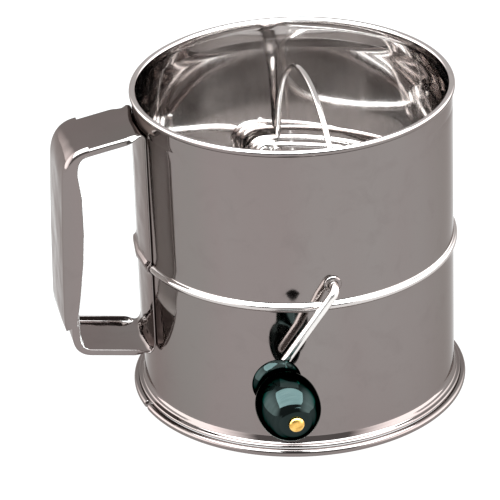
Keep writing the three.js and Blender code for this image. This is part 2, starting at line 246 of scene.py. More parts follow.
def tube(path, radius, sides=16, edge=0.35):
    """A round bar along a path, with its cut ends eased over a share of the radius."""
    tangent = np.gradient(path, axis=0)
    tangent /= np.linalg.norm(tangent, axis=1)[:, None]
    side = np.cross(tangent[0], [0.31, 0.2, 0.93])
    frames = []
    for t in tangent:
        side = side - t * (side @ t)
        side /= np.linalg.norm(side)
        frames.append(side)
    side = np.array(frames)
    up = np.cross(tangent, side)
    radii = np.full(len(path), float(radius))
    ease = radius * edge
    turns_in = np.radians([90, 60, 30])
    start = [path[0] + tangent[0] * ease * (1 - math.sin(a)) for a in turns_in]
    end = [path[-1] - tangent[-1] * ease * (1 - math.sin(a)) for a in turns_in[::-1]]
    inner = radius - ease + ease * np.cos(turns_in)
    path = np.concatenate([start, path[1:-1], end])
    radii = np.concatenate([inner, radii[1:-1], inner[::-1]])
    pick = np.r_[[0] * 3, np.arange(1, len(side) - 1), [len(side) - 1] * 3]
    side, up = side[pick], up[pick]
    a = np.arange(sides) / sides * 2 * np.pi
    ring = side[:, None] * np.cos(a)[None, :, None] + up[:, None] * np.sin(a)[None, :, None]
    points = path[:, None] + ring * radii[:, None, None]
    rows = len(path)
    caps = np.array([np.arange(sides), np.arange(sides) + (rows - 1) * sides])
    return points.reshape(-1, 3), [grid_faces(rows, sides), caps]


# Materials


class Nodes:
    """Short calls for building one material's nodes."""

    def __init__(self, name):
        self.material = bpy.data.materials.new(name)
        self.material.use_nodes = True
        self.tree = self.material.node_tree
        self.shader = self.tree.nodes["Principled BSDF"]
        self.place = self.add("ShaderNodeTexCoord").outputs["Object"]

    def add(self, kind, **values):
        node = self.tree.nodes.new(kind)
        for key, value in values.items():
            setattr(node, key, value)
        return node

    def link(self, output, socket):
        self.tree.links.new(output, socket)

    def noise(self, scale, stretch=(1, 1, 1), detail=3.0, roughness=0.5, distortion=0.0):
        """Noise in features per metre, squeezed along each axis by stretch."""
        mapping = self.add("ShaderNodeMapping")
        mapping.inputs["Scale"].default_value = [scale * s for s in stretch]
        self.link(self.place, mapping.inputs["Vector"])
        noise = self.add("ShaderNodeTexNoise")
        noise.inputs["Scale"].default_value = 1
        noise.inputs["Detail"].default_value = detail
        noise.inputs["Roughness"].default_value = roughness
        noise.inputs["Distortion"].default_value = distortion
        self.link(mapping.outputs[0], noise.inputs["Vector"])
        return noise.outputs["Fac"]

    def ramp(self, value, stops):
        ramp = self.add("ShaderNodeValToRGB")
        elements = ramp.color_ramp.elements
        while len(elements) < len(stops):
            elements.new(0.5)
        for element, (position, colour) in zip(elements, stops):
            element.position = position
            element.color = (*colour, 1) if len(colour) == 3 else colour
        self.link(value, ramp.inputs[0])
        return ramp.outputs["Color"]

    def spread(self, value, low, high, start=0.3, end=0.7):
        """Maps a texture's start..end onto low..high."""
        spread = self.add("ShaderNodeMapRange")
        for key, number in zip(("From Min", "From Max", "To Min", "To Max"), (start, end, low, high)):
            spread.inputs[key].default_value = number
        self.link(value, spread.inputs["Value"])
        return spread.outputs["Result"]

    def math(self, operation, a, b):
        node = self.add("ShaderNodeMath", operation=operation)
        for socket, value in zip(node.inputs, (a, b)):
            if isinstance(value, (int, float)):
                socket.default_value = value
            else:
                self.link(value, socket)
        return node.outputs[0]

    def mix(self, factor, a, b):
        node = self.add("ShaderNodeMix", data_type="RGBA")
        self.link(factor, node.inputs["Factor"])
        for key, value in (("A", a), ("B", b)):
            socket = next(s for s in node.inputs if s.name == key and s.type == "RGBA")
            if isinstance(value, tuple):
                socket.default_value = (*value, 1)
            else:
                self.link(value, socket)
        return next(s for s in node.outputs if s.type == "RGBA")

    def bumps(self, *layers):
        """Stacks bump layers of (height texture, strength, millimetres)."""
        normal = None
        for height, strength, distance in layers:
            bump = self.add("ShaderNodeBump")
            bump.inputs["Strength"].default_value = strength
            bump.inputs["Distance"].default_value = distance * MM
            self.link(height, bump.inputs["Height"])
            if normal is not None:
                self.link(normal, bump.inputs["Normal"])
            normal = bump.outputs["Normal"]
        self.link(normal, self.shader.inputs["Normal"])


def steel(name, tints, rough, streak=(1, 1, 0.03), scratch=0.05, edge=0.6, dents=0.0, metal=1.0):
    """Polished steel: slow tint changes, fine polishing lines, smudges and shallow dents."""
    n = Nodes(name)
    cloudy = n.noise(14, (1, 1, 0.18), detail=2)
    lines = n.noise(1500, streak, detail=4, roughness=0.6)
    smudge = n.noise(70, detail=5, roughness=0.62, distortion=0.6)
    colour = n.ramp(cloudy, [(0.32, tints[0]), (0.5, tints[1]), (0.68, tints[2])])
    dull = n.mix(n.spread(smudge, 0, 0.35, 0.52, 0.75), colour, tuple(0.82 * c for c in tints[1]))
    n.link(dull, n.shader.inputs["Base Color"])
    polish = n.spread(lines, rough[0], rough[1])
    patches = n.spread(smudge, 0, 0.05, 0.5, 0.72)
    n.link(n.math("ADD", polish, patches), n.shader.inputs["Roughness"])
    n.shader.inputs["Metallic"].default_value = metal
    n.shader.inputs["Specular Tint"].default_value = (edge, edge * 0.95, edge * 0.93, 1)
    n.bumps((lines, scratch, 0.01), (n.noise(240, detail=2), 0.04, 0.02), (n.noise(55, detail=1), dents, 1))
    return n.material


def woven_steel():
    n = Nodes("woven_wire")
    grime = n.noise(160, detail=4)
    colour = n.ramp(grime, [(0.3, (0.2, 0.186, 0.178)), (0.7, (0.32, 0.3, 0.29))])
    n.link(colour, n.shader.inputs["Base Color"])
    n.link(n.spread(n.noise(2600, (1, 1, 1), detail=2), 0.22, 0.4), n.shader.inputs["Roughness"])
    n.shader.inputs["Metallic"].default_value = 1
    n.bumps((n.noise(3200, detail=2), 0.15, 0.02))
    return n.material


def lacquer():
    """Bottle green lacquer on turned wood, almost black. The wood's rings and pores show faintly."""
    n = Nodes("green_lacquer")
    rings = n.noise(900, (0.12, 1, 0.12), detail=3)
    pores = n.noise(2600, (1, 0.12, 1), detail=3)
    stops = [(0.3, (0.016, 0.023, 0.022)), (0.55, (0.019, 0.027, 0.0265)), (0.8, (0.022, 0.03, 0.028))]
    colour = n.ramp(rings, stops)
    n.link(colour, n.shader.inputs["Base Color"])
    n.link(n.spread(pores, 0.035, 0.07), n.shader.inputs["Roughness"])
    n.shader.inputs["Metallic"].default_value = 1
    n.shader.inputs["Specular Tint"].default_value = (0.14, 0.18, 0.16, 1)
    n.bumps((pores, 0.05, 0.02), (n.noise(120, detail=2), 0.1, 0.08))
    return n.material


def brass():
    n = Nodes("brass_cap")
    stain = n.noise(420, detail=4)
    colour = n.ramp(stain, [(0.3, (0.5, 0.27, 0.06)), (0.55, (0.78, 0.48, 0.13)), (0.8, (0.86, 0.58, 0.2))])
    n.link(colour, n.shader.inputs["Base Color"])
    n.link(n.spread(n.noise(2200, (1, 0.2, 1), detail=3), 0.16, 0.3), n.shader.inputs["Roughness"])
    n.shader.inputs["Metallic"].default_value = 1
    n.bumps((n.noise(1400, detail=3), 0.12, 0.03))
    return n.material


SHEET_TINTS = ((0.196, 0.178, 0.168), (0.214, 0.18, 0.174), (0.222, 0.198, 0.19))
# A lighter copy of the sheet steel, painted light: the drum's inside painted lighter, and painted highlights
# on the bead and the rim's crown.
PAINTED_LIGHT_TINTS = ((0.5, 0.465, 0.45), (0.53, 0.49, 0.476), (0.57, 0.53, 0.515))
WIRE_TINTS = ((0.54, 0.505, 0.49), (0.62, 0.585, 0.57), (0.7, 0.665, 0.65))
PLATE_TINTS = ((0.66, 0.63, 0.61), (0.72, 0.69, 0.67), (0.78, 0.75, 0.73))
# Near-white steel, a painted highlight on the handle's faces turned to the drum.
PAINTED_HIGHLIGHT_TINTS = ((0.78, 0.74, 0.72), (0.83, 0.79, 0.77), (0.87, 0.83, 0.81))
polished = steel("polished_steel", SHEET_TINTS, (0.045, 0.085))
# Steel with painted light, for the drum's inside, bead and rim crown.
painted_light_steel = steel("polished_painted_light", PAINTED_LIGHT_TINTS, (0.045, 0.09))
ALONG_STRIP = (0.05, 1, 0.05)  # polishing lines long in X and Z, the way that the handle's strip runs
handle_steel = steel("handle_steel", SHEET_TINTS, (0.06, 0.11), streak=ALONG_STRIP, scratch=0.08, dents=0.85)
# Rougher steel whose near-white colour is a painted highlight.
brushed_painted_highlight = steel("brushed_inside_painted_highlight", PAINTED_HIGHLIGHT_TINTS, (0.42, 0.52), streak=ALONG_STRIP, scratch=0.12, metal=0.35)
drawn = steel("drawn_wire", WIRE_TINTS, (0.1, 0.18), streak=(0.4, 0.4, 0.4), scratch=0.1)
plated = steel("plated_rod", PLATE_TINTS, (0.14, 0.22), streak=(1, 1, 0.2), scratch=0.06)
woven = woven_steel()
green = lacquer()
cap_brass = brass()


# Drum

RIM_OUTER = 1.8  # radius of the rolled rim's outer face
RIM_INNER = 1.2
RIM_WIRE_R = 0.9
RIM_R = DRUM_R - SHEET
RIM_Z = DRUM_H - RIM_OUTER
SHAFT_HOLE_R = 3.5
FOOT_R = 2.1  # radius of the base ring's section
FOOT_GAP_AT = math.radians(190.5)  # direction of the gap in the base ring, from +X
FOOT_GAP_HALF = 0.02  # half of that gap, in radians


def wall_line(r, out):
    """The wall from the flare up to under the rim, at radius r, with a bead standing out."""
    lip = bezier((r + FLARE_OUT, 4.7), (r + FLARE_OUT, 5.6), (r + 2.6, 5.9), 5)
    flange = bezier((r + 2.6, 5.9), (r + 1.3, 6.2), (r + 1, 7), 4)
    step = bezier((r + 0.8, 8), (r + 0.4, 8.7), (r, 9.6), 5)
    flare = joined(lip, flange, step)
    crown = arc((r + out - 2, BEAD_Z), 2, -66, 66, 14)
    into = bezier((r, BEAD_Z - 3), (r, BEAD_Z - 2.15), crown[0], 4)
    away = bezier(crown[-1], (r, BEAD_Z + 2.15), (r, BEAD_Z + 3), 4)
    crease = DRUM_H - HEM_DEPTH
    below = line((r, 11), (r, BEAD_Z - 3), 12)
    above = line((r, BEAD_Z + 3), (r, crease - 0.5), 14)
    fold = bezier((r, crease - 0.5), (r - 0.12, crease), (r, crease + 0.5), 3)
    top = line((r, crease + 0.5), (r, RIM_Z - RIM_OUTER), 3)
    return joined(flare, below, into, crown, away, above, fold, top)


def drum_outline():
    hem_r = RIM_R - 0.12
    edge_z = DRUM_H - HEM_DEPTH
    roll = arc((RIM_R, RIM_Z), RIM_OUTER, -55, 180, 26)
    drop = bezier(roll[-1], (RIM_R - RIM_OUTER, RIM_Z - 3), (hem_r - SHEET, RIM_Z - 5), 6)
    hem_face = joined(drop, (hem_r - SHEET, edge_z + 0.25))
    hem_edge = arc((hem_r - 0.3, edge_z + 0.25), 0.3, 180, 360, 6)
    rise = bezier((hem_r, RIM_Z - 4.8), (RIM_R - RIM_INNER, RIM_Z - 2.5), (RIM_R - RIM_INNER, RIM_Z), 5)
    hem_back = joined((hem_r, RIM_Z - 5.2), rise)
    inner_roll = arc((RIM_R, RIM_Z), RIM_INNER, 180, -50, 20)
    inner_wall = wall_line(DRUM_R - SHEET, BEAD_OUT - 0.15)[::-1]
    return joined(wall_line(DRUM_R, BEAD_OUT), roll, hem_face, hem_edge, hem_back, inner_roll, inner_wall)


def hand_formed(angle, r, z):
    """Sheet metal is never quite round: slow shallow waves, less where the rim and bead stiffen it."""
    free = np.clip(np.minimum(np.abs(z - BEAD_Z), DRUM_H - z) / 18, 0, 1)
    wave = 0.10 * np.sin(3 * angle + 0.7 + z / 60) + 0.05 * np.sin(7 * angle + 2.1 - z / 35)
    wave += 0.025 * np.sin(13 * angle + 1.3 + z / 22)
    seam = np.exp(-(((angle - np.pi) / 0.035) ** 4))
    seam = seam * np.clip((z - 13) / 2, 0, 1) * np.clip((DRUM_H - 15 - z) / 2, 0, 1)
    inside = r < DRUM_R - 0.3
    return r + wave * free * 0.9 - seam * inside * 0.45, z


def shaft_drill(sides=40):
    """A round bar right through the drum, for cutting both bushings' holes."""
    a = np.arange(sides) / sides * 2 * np.pi
    ring = np.stack([SHAFT_HOLE_R * np.cos(a), 0 * a, SHAFT_Z + SHAFT_HOLE_R * np.sin(a)], 1)
    points = np.concatenate([ring + [0, y, 0] for y in (-DRUM_R - 5, DRUM_R + 5)])
    return points, [grid_faces(2, sides), np.array([np.arange(sides), np.arange(sides) + sides])]


wall = turned(drum_outline(), 384, hand_formed)
drum = make_piece(
    "drum_shell_body", *wall, "sifter_body", "polished_sheet", polished, ["drum_shell"], sharp=50
)
cut_with(drum, *shaft_drill())


def painted_light_faces(middle, normal):
    """Whether a face of the drum takes the lighter steel, which is painted light: the inside is painted
    lighter than the outside of the same sheet, and the bead and the rim's crown get painted highlights.
    """
    radius = np.hypot(*middle[:2])
    inside = normal[:2] @ middle[:2] < 0 and abs(radius - RIM_R) < 2.6 and middle[2] > 12
    bead = abs(middle[2] - BEAD_Z) < 2.3 and radius > DRUM_R + 0.3
    return inside or bead or (middle[2] > RIM_Z + 0.5 and normal[2] > 0.45)


# Painted light: the drum's inside, its bead and its rim's crown take the lighter copy of the steel.
give_some(drum, painted_light_steel, painted_light_faces)

rim_wire = turned(arc((RIM_R, RIM_Z), RIM_WIRE_R, 0, 345, 23), 192)
make_piece("rim_wire_core", *rim_wire, "sifter_body", "steel_wire", drawn, ["rim_wire"])


def base_ring():
    """The rolled foot: a bar bent round, with a narrow gap left between its ends under the handle."""
    a = FOOT_GAP_AT + FOOT_GAP_HALF + np.linspace(0, 2 * np.pi - 2 * FOOT_GAP_HALF, 361)
    middle = BASE_R - FOOT_R
    path = np.stack([middle * np.cos(a), middle * np.sin(a), np.full(len(a), FOOT_R)], 1)
    return tube(path, FOOT_R, 28, edge=0.25)


make_piece("base_ring_foot", *base_ring(), "sifter_body", "polished_sheet", polished, ["base_ring"])


# Sieve


def draped_net(radius, pitch, half):
    """Crossings of a square weave formed over a sphere from its lowest point, one pitch apart all over.

    Each new crossing is the one diagonally before it, mirrored in the plane of its two neighbours
    and the sphere's middle."""
    net = np.zeros((half + 1, half + 1, 3))
    a = np.arange(half + 1) * pitch / radius
    net[:, 0] = radius * np.stack([np.sin(a), 0 * a, -np.cos(a)], 1)
    net[0, :] = radius * np.stack([0 * a, np.sin(a), -np.cos(a)], 1)
    for i in range(1, half + 1):
        for j in range(1, half + 1):
            normal = np.cross(net[i - 1, j], net[i, j - 1])
            size = np.linalg.norm(normal)
            if size < 0.02 * radius * pitch or net[i - 1, j - 1, 2] > 0:
                net[i, j] = net[i - 1, j - 1] * [1, 1, 0] + [0, 0, radius]
                continue
            normal /= size
            net[i, j] = net[i - 1, j - 1] - 2 * (net[i - 1, j - 1] @ normal) * normal
    return net


def woven_wires(net, keep, swap, wire_r, top):
    """Wires along the net's first index (or the second if swap), each going over and under the others."""
    half = len(net) - 1
    index = np.arange(-half, half + 1)
    steps, sides = 4, 4
    all_points, all_faces, count = [], [], 0
    for row in index:
        if not keep(row):
            continue
        line_net = net[np.abs(index), abs(row)] if not swap else net[abs(row), np.abs(index)]
        mirror = np.ones((len(index), 3))
        mirror[:, 0 if not swap else 1] = np.sign(index) + (index == 0)
        mirror[:, 1 if not swap else 0] = 1 if row >= 0 else -1
        crossings = line_net * mirror
        reach = np.nonzero(crossings[:, 2] > top)[0]
        last = min([abs(index[k]) for k in reach], default=half)
        span = index[np.abs(index) <= last]
        if len(span) < 4:
            continue
        t = np.linspace(span[0], span[-1], (len(span) - 1) * steps + 1)
        middle = np.stack([np.interp(t, index, crossings[:, k]) for k in range(3)], 1)
        below = middle[:, 2] < top
        t, middle = t[below], middle[below]
        outward = middle / np.linalg.norm(middle, axis=1)[:, None]
        phase = np.pi * (t + row) + (np.pi if swap else 0)
        centre = outward * (SIEVE_R + 0.9 * wire_r * np.cos(phase))[:, None]
        tangent = np.gradient(centre, axis=0)
        tangent /= np.linalg.norm(tangent, axis=1)[:, None]
        across = np.cross(tangent, outward)
        across /= np.linalg.norm(across, axis=1)[:, None]
        up = np.cross(across, tangent)
        a = (np.arange(sides) + 0.5) / sides * 2 * np.pi
        ring = across[:, None] * np.cos(a)[None, :, None] + up[:, None] * np.sin(a)[None, :, None]
        points = (centre[:, None] + ring * wire_r).reshape(-1, 3)
        rows = len(centre)
        caps = np.array([np.arange(sides), np.arange(sides) + (rows - 1) * sides])
        all_points.append(points)
        all_faces.append(np.concatenate([grid_faces(rows, sides), caps]) + count)
        count += len(points)
    return np.concatenate(all_points) + [0, 0, SHAFT_Z], [np.concatenate(all_faces)]


PITCH = 1.9
WEAVE_R = 0.21
NET_HALF = 62  # crossings from the middle of the net to its edge
net = draped_net(SIEVE_R, PITCH, NET_HALF)
SIEVE_TOP = BEAD_Z - 1.2 - SHAFT_Z
for name, keep, swap in (
    ("sieve_warp_left", lambda k: k < 0, False),
    ("sieve_warp_right", lambda k: k >= 0, False),
    ("sieve_weft_front", lambda k: k < 0, True),
    ("sieve_weft_rear", lambda k: k >= 0, True),
):
    wires = woven_wires(net, keep, swap, WEAVE_R, SIEVE_TOP)
    make_piece(name, *wires, "sifter_body", "woven_wire", woven, ["sieve_bowl"], sharp=180)

BAND_INNER = 79
band_r = DRUM_R - SHEET - GAP
band = joined(
    arc((BAND_INNER - 0.25, BEAD_Z - 1.55), 0.35, 90, 270, 6),
    line((BAND_INNER, BEAD_Z - 1.9), (band_r - 0.5, BEAD_Z - 1.9), 2),
    arc((band_r - 0.5, BEAD_Z - 1.4), 0.5, -90, 0, 5),
    arc((band_r - 0.45, BEAD_Z + 1.95), 0.45, 0, 180, 8),
    bezier((band_r - 1.0, BEAD_Z + 0.4), (band_r - 1.1, BEAD_Z - 0.9), (band_r - 2.4, BEAD_Z - 1.1), 5),
)
make_piece("sieve_band_ring", *turned(band, 256), "sifter_body", "polished_sheet", polished, ["sieve_band"])


# Crank

KNOB_SIDE = np.array([KNOB_X, 0, KNOB_Z - SHAFT_Z])
ARM = KNOB_SIDE / np.linalg.norm(KNOB_SIDE)
OUT = np.array([0, -1.0, 0])
WASHER = (ROD_R + 0.25, 5)  # radii of its bore and its edge
WASHER_THICK = 0.8


def bend(corner, before, after, size):
    return bezier(corner - before * size, corner, corner + after * size, 10)


def crank_rod():
    elbow = np.array([0, -(DRUM_R + ARM_OUT), SHAFT_Z])
    wrist = elbow + KNOB_SIDE
    tail = np.array([0, DRUM_R + REAR_OUT, SHAFT_Z])
    end = wrist + OUT * (ROD_END - ARM_OUT)
    path = joined(tail, bend(elbow, OUT, ARM, 4.5), bend(wrist, ARM, OUT, 3), end)
    return tube(evenly(path, 0.8, smoothing=2), ROD_R, 24, edge=0.3)


def ring_outline(bore, radius, start, length, ease=0.2):
    """A flat ring's outline with eased edges."""
    low, high = start + ease, start + length - ease
    return joined(
        arc((radius - ease, low), ease, -90, 0, 3),
        arc((radius - ease, high), ease, 0, 90, 3),
        arc((bore + ease, high), ease, 90, 180, 3),
        arc((bore + ease, low), ease, 180, 270, 3),
    )


def eyelet():
    """A flanged sleeve closed over the wall on both sides, rolled outside and flat inside."""
    bore, barrel, flange = ROD_R + 0.08, 3.2, 4.5
    roll = spline([
        (barrel, GAP), (flange - 0.2, GAP + 0.02), (flange, GAP + 0.3), (flange - 0.35, GAP + 0.72),
        (barrel + 0.3, GAP + 1.02), (bore + 0.25, GAP + 1.08), (bore, GAP + 0.8),
    ], 5)
    inside = -(SHEET + GAP + 0.2)
    back = spline([
        (bore, inside - 0.5), (bore + 0.3, inside - 0.8), (flange - 0.3, inside - 0.75),
        (flange, inside - 0.4), (flange - 0.3, inside - 0.02), (barrel, inside),
    ], 5)
    return joined(roll, back)


def push_nut():
    bore = ROD_R + 0.25
    face = [(bore, 0.9), (3.4, 0.2), (5.2, 0)]
    back = [(5.2, 0.6), (3.6, 0.9), (bore, 1.7)]
    return joined(spline(face, 5), spline(back, 5)) + [0, 2.8]


def to_rear(shape):
    points, faces = shape
    return points * [-1, -1, 1], faces


make_piece("crank_rod_bar", *crank_rod(), "crank", "steel_rod", plated, ["crank_rod"])
front_sleeve, rear_sleeve = turned_along_y(eyelet()), to_rear(turned_along_y(eyelet()))
make_piece("front_eyelet", *front_sleeve, "sifter_body", "polished_sheet", polished, ["front_bushing"])
make_piece("rear_eyelet", *rear_sleeve, "sifter_body", "polished_sheet", polished, ["rear_bushing"])
front_ring = turned_along_y(ring_outline(*WASHER, -3.6, WASHER_THICK))
rear_ring = to_rear(turned_along_y(ring_outline(*WASHER, 1.7, WASHER_THICK)))
make_piece("front_washer_ring", *front_ring, "crank", "polished_sheet", plated, ["front_washer"])
make_piece("rear_washer_ring", *rear_ring, "crank", "polished_sheet", plated, ["rear_washer"])
nut = to_rear(turned_along_y(push_nut()))
make_piece("rear_push_nut_disc", *nut, "crank", "steel_rod", plated, ["rear_push_nut"])


# Agitator, worked out from the middle of the shaft. A clock angle is taken from straight up, clockwise
# as seen from the crank's side.


def turns(start, end, y, radius):
    count = max(3, int(abs(end - start) / 5))
    t = np.arange(1, count + 1) / count
    a = np.radians(start + (end - start) * t)
    r = radius[0] + (radius[1] - radius[0]) * t
    return np.stack([r * np.sin(a), y[0] + (y[1] - y[0]) * t, r * np.cos(a)], 1)


def drawn_in(t, layer_start, layer_end):
    """How much a sweep is drawn in along the shaft so that its ends reach inner layers of turns."""
    def near(d):
        s = np.clip((d - 0.05) / 0.25, 0, 1)
        return 1 - s * s * (3 - 2 * s)
    return LAYER * (layer_start * near(t) + layer_end * near(1 - t)) / HUB


def arch_over(layer_end):
    t = np.linspace(0, 1, 150)
    k = 1 - drawn_in(t, 0, layer_end)
    return np.stack([0 * t + WRAP_R, -HUB * np.cos(np.pi * t) * k, HUB * np.sin(np.pi * t)], 1)


def sweep_beside(start, end, height, layers):
    t = np.linspace(0, 1, 150)
    a = np.radians(start + (end - start) * t)
    z = height(t)
    r = np.sqrt(CAGE_R**2 - z**2)
    k = 1 - drawn_in(t, *layers)
    return np.stack([r * np.sin(a), r * np.cos(a) * k, z], 1)


def arch_wire(rear_layer):
    rear, front = HUB - LAYER * rear_layer, -(HUB - LAYER)
    outer = (WRAP_R, WRAP_R)
    return joined(
        turns(225, 95, (-HUB, -HUB), outer),
        arch_over(rear_layer),
        turns(90, 352, (rear, rear), outer),
        sweep_beside(0, 180, lambda t: WRAP_R - 3 * np.sin(np.pi * t), (rear_layer, 1)),
        turns(0, -100, (front, front), outer),
    )


def hoop_wire():
    def layer(n):
        return HUB - LAYER * n

    def right(t):
        return WRAP_R * (1 - t) - 3 * np.sin(np.pi * t) - WRAP_R * t

    def left(t):
        return -WRAP_R + 8.2 * np.sin(np.pi * t)

    inner, outer = (INNER_WRAP_R, INNER_WRAP_R), (WRAP_R, WRAP_R)
    return joined(
        turns(-630, -180, (layer(0), layer(2.05)), inner),
        turns(-180, -8, (layer(2.05), layer(2.05)), (INNER_WRAP_R, WRAP_R)),
        sweep_beside(0, 180, right, (2.05, 2.05)),
        turns(180, 530, (-layer(2.05), -layer(3)), outer),
        sweep_beside(180, 360, left, (3, 3.1)),
        turns(180, 20, (layer(3.1), layer(3.1)), outer),
    )


upper = arch_wire(0)
lower = arch_wire(1) * [-1, 1, -1]
for name, path, node in (
    ("agitator_upper_bow", upper, "agitator_upper_wire"),
    ("agitator_lower_bow", lower, "agitator_lower_wire"),
    ("agitator_level_hoop", hoop_wire(), "agitator_hoop"),
):
    path = evenly(path + [0, 0, SHAFT_Z], 0.9, smoothing=2)
    make_piece(name, *tube(path, WIRE_R, 16), "crank", "steel_wire", drawn, [node], sharp=60)


# Knob


def knob_outline():
    side = spline([
        (9.6, 0.6), (12.3, 2.4), (12.6, 4.2), (11, 8.6), (12.2, 14),
        (15.2, 21), (16, 28), (15, 36), (11.6, 42.6), (8, 45.6),
    ], 8)
    bore = ROD_R + 0.1
    face = bezier((8, 45.6), (6.6, 46.3), (5.2, KNOB_LENGTH), 4)
    return joined((bore, 2.4), (4.6, 0.1), (4.9, 0), (8.6, 0), side, face, (bore, KNOB_LENGTH))


def tack_outline():
    """A domed brass cap closed over the rod's end."""
    start = KNOB_START + KNOB_LENGTH + GAP
    top = TACK_OUT
    inside = ROD_END + GAP
    dome = bezier((3.9, start + 0.75), (3.5, top - 0.1), (0, top), 12)
    bore = ROD_R + 0.1
    return joined((0, inside), (bore, inside), (bore, start), (3.7, start), (3.9, start + 0.2), dome)


on_knob = {"x": KNOB_X, "z": KNOB_Z}
knob = turned_along_y(knob_outline() + [0, KNOB_START], 96, **on_knob)
tack = turned_along_y(tack_outline(), 48, **on_knob)
make_piece("knob_turned", *knob, "knob", "lacquered_wood", green, ["knob"], sharp=50)
make_piece("knob_brass_tack", *tack, "crank", "brass_cap", cap_brass, ["knob_tack"], sharp=50, weld=0.01)


# Handle. Its side view has points (reach from the drum's axis, height).

WALL_OFF = 0.55  # wall to the middle of the strap's back
RUN_TOP = ((DRUM_R + 3.4, 160.45), (109, 156.2))  # the run over the fingers, from the wall outwards
CORE = ((122.3, 140), (123.4, 51))  # the upright part inside the grip
RUN_LOW = ((114.3, 38.5), (DRUM_R + 8.5, 34.9))


def channel(half, corner, depth, thick, fold=1.0):
    """A channel's closed outline of (across, height): a web with both edges folded down by fold right angles.

    It has the same number of points whatever the sizes. Unfolded edges keep the same width."""
    turn = np.radians(90 * fold)
    bow = np.linspace(0, 1, 9)
    span = half - corner
    y, h, heading = [span], [0.0], [0.0]
    for before, after in zip(bow, bow[1:]):
        step = corner * np.pi / 2 / 8
        middle = turn * (before + after) / 2
        y.append(y[-1] + step * np.cos(middle))
        h.append(h[-1] - step * np.sin(middle))
        heading.append(turn * after)
    for _ in range(5):
        step = max(depth - corner, 0.2) / 5
        y.append(y[-1] + step * np.cos(turn))
        h.append(h[-1] - step * np.sin(turn))
        heading.append(turn)
    y, h, heading = np.array(y), np.array(h), np.array(heading)
    y = y * (half / y[-1] if fold < 0.999 else 1)
    across = np.stack([np.sin(heading), np.cos(heading)], 1) * thick / 2
    side = np.stack([y, h], 1)
    round_tip = turn - np.radians([60, 30, 0, -30, -60])
    tip = side[-1] + thick / 2 * np.stack([np.cos(round_tip), -np.sin(round_tip)], 1)
    web = [(0, thick / 2)]
    right = np.concatenate([web, side + across, tip, (side - across)[::-1], [(0, -thick / 2)]])
    return np.concatenate([right, (right[::-1] * [-1, 1])[1:-1]])


def swept_channel(path, closed, outline_at, follow=None):
    """Sweeps a section along a side-view path; follow bends it onto the round wall, from 0 to 1."""
    if closed:
        tangent = np.roll(path, -1, 0) - np.roll(path, 1, 0)
    else:
        tangent = np.gradient(path, axis=0)
    tangent /= np.linalg.norm(tangent, axis=1)[:, None]
    rows = []
    for k, (reach, z) in enumerate(path):
        outline = outline_at(k)
        across, height = outline[:, 0], outline[:, 1]
        out = reach - tangent[k, 1] * height
        up = z + tangent[k, 0] * height
        if follow is not None:
            out = out - follow[k] * (DRUM_R - np.sqrt(DRUM_R**2 - across**2))
        rows.append(np.stack([-out, across, up], 1))
    return np.array(rows)


def strap():
    """One strip of sheet bent into a loop: a shallow channel that flattens where it lies on the wall."""
    back = DRUM_R + WALL_OFF
    top_wall, top_end = RUN_TOP
    low_end, low_wall = RUN_LOW
    high, low = top_wall[1] - 2.6, low_wall[1] + 7.5
    over = [
        bezier((back, BEAD_Z - 4.2), (back + 0.1, BEAD_Z - 2.6), (back + BEAD_OUT, BEAD_Z - 1.1), 6),
        line((back + BEAD_OUT, BEAD_Z - 1.1), (back + BEAD_OUT, BEAD_Z + 1.1), 2),
        bezier((back + BEAD_OUT, BEAD_Z + 1.1), (back + 0.1, BEAD_Z + 2.6), (back, BEAD_Z + 4.2), 6),
    ]
    path = joined(
        bezier((back, high), (back + 0.1, high + 2.7), top_wall, 8),
        line(top_wall, top_end, 14),
        bezier(top_end, (122.1, 154.3), CORE[0], 20),
        line(*CORE, 30),
        bezier(CORE[1], (123.6, 40.0), low_end, 20),
        line(low_end, low_wall, 14),
        bezier(low_wall, (back + 0.1, low_wall[1] - 1.3), (back, low), 14),
        line((back, low), (back, BEAD_Z - 4.2), 12),
        *over,
        line((back, BEAD_Z + 4.2), (back, high), 16),
    )[:-1]
    near = np.clip(1 - (path[:, 0] - back - BEAD_OUT) / 7, 0, 1)
    near = near * near * (3 - 2 * near)
    half = STRAP_W / 2 - 0.4
    rows = swept_channel(path, True, lambda k: channel(half, 1.3, 3.1, 0.8, 1 - near[k]), near)
    return rows.reshape(-1, 3), [grid_faces(len(rows), rows.shape[1], wrap_rows=True)]


def grip():
    """A deeper channel hooked over the strap from outside, from the upper bend to above the lower one."""
    low, thick = 52.5, 0.9
    path = joined(
        bezier((HANDLE_REACH - 1.3, low), (HANDLE_REACH - 0.5, low + 2.5), (HANDLE_REACH - 0.45, low + 7), 8),
        bezier((HANDLE_REACH - 0.45, low + 7), (126.2, 100), (124.1, 138), 40),
        bezier((124.1, 138), (123.7, 155.7), (110, 157.35), 24),
    )
    path = evenly(path, 1.1, smoothing=2)[::-1]
    t = np.linspace(1, 0, len(path))  # from the lower end up
    depth = np.interp(t, [0, 0.08, 0.2, 0.36, 0.52, 0.7, 0.86, 1], [5.2, 6.2, 7.9, 9.6, 10.2, 9.3, 6.2, 2.8])
    rows = swept_channel(path, False, lambda k: channel(STRAP_W / 2 + 0.55, 2.6, depth[k], thick))
    edge = np.clip((np.abs(rows[0, :, 1]) - 13) / 7, 0, 1) ** 2
    rows[:, :, 2] += edge * 3.2 * np.clip(1 - t * 5, 0, 1)[:, None] ** 2
    count, columns = rows.shape[:2]
    return rows.reshape(-1, 3), [grid_faces(count, columns), *channel_caps(count, columns)]


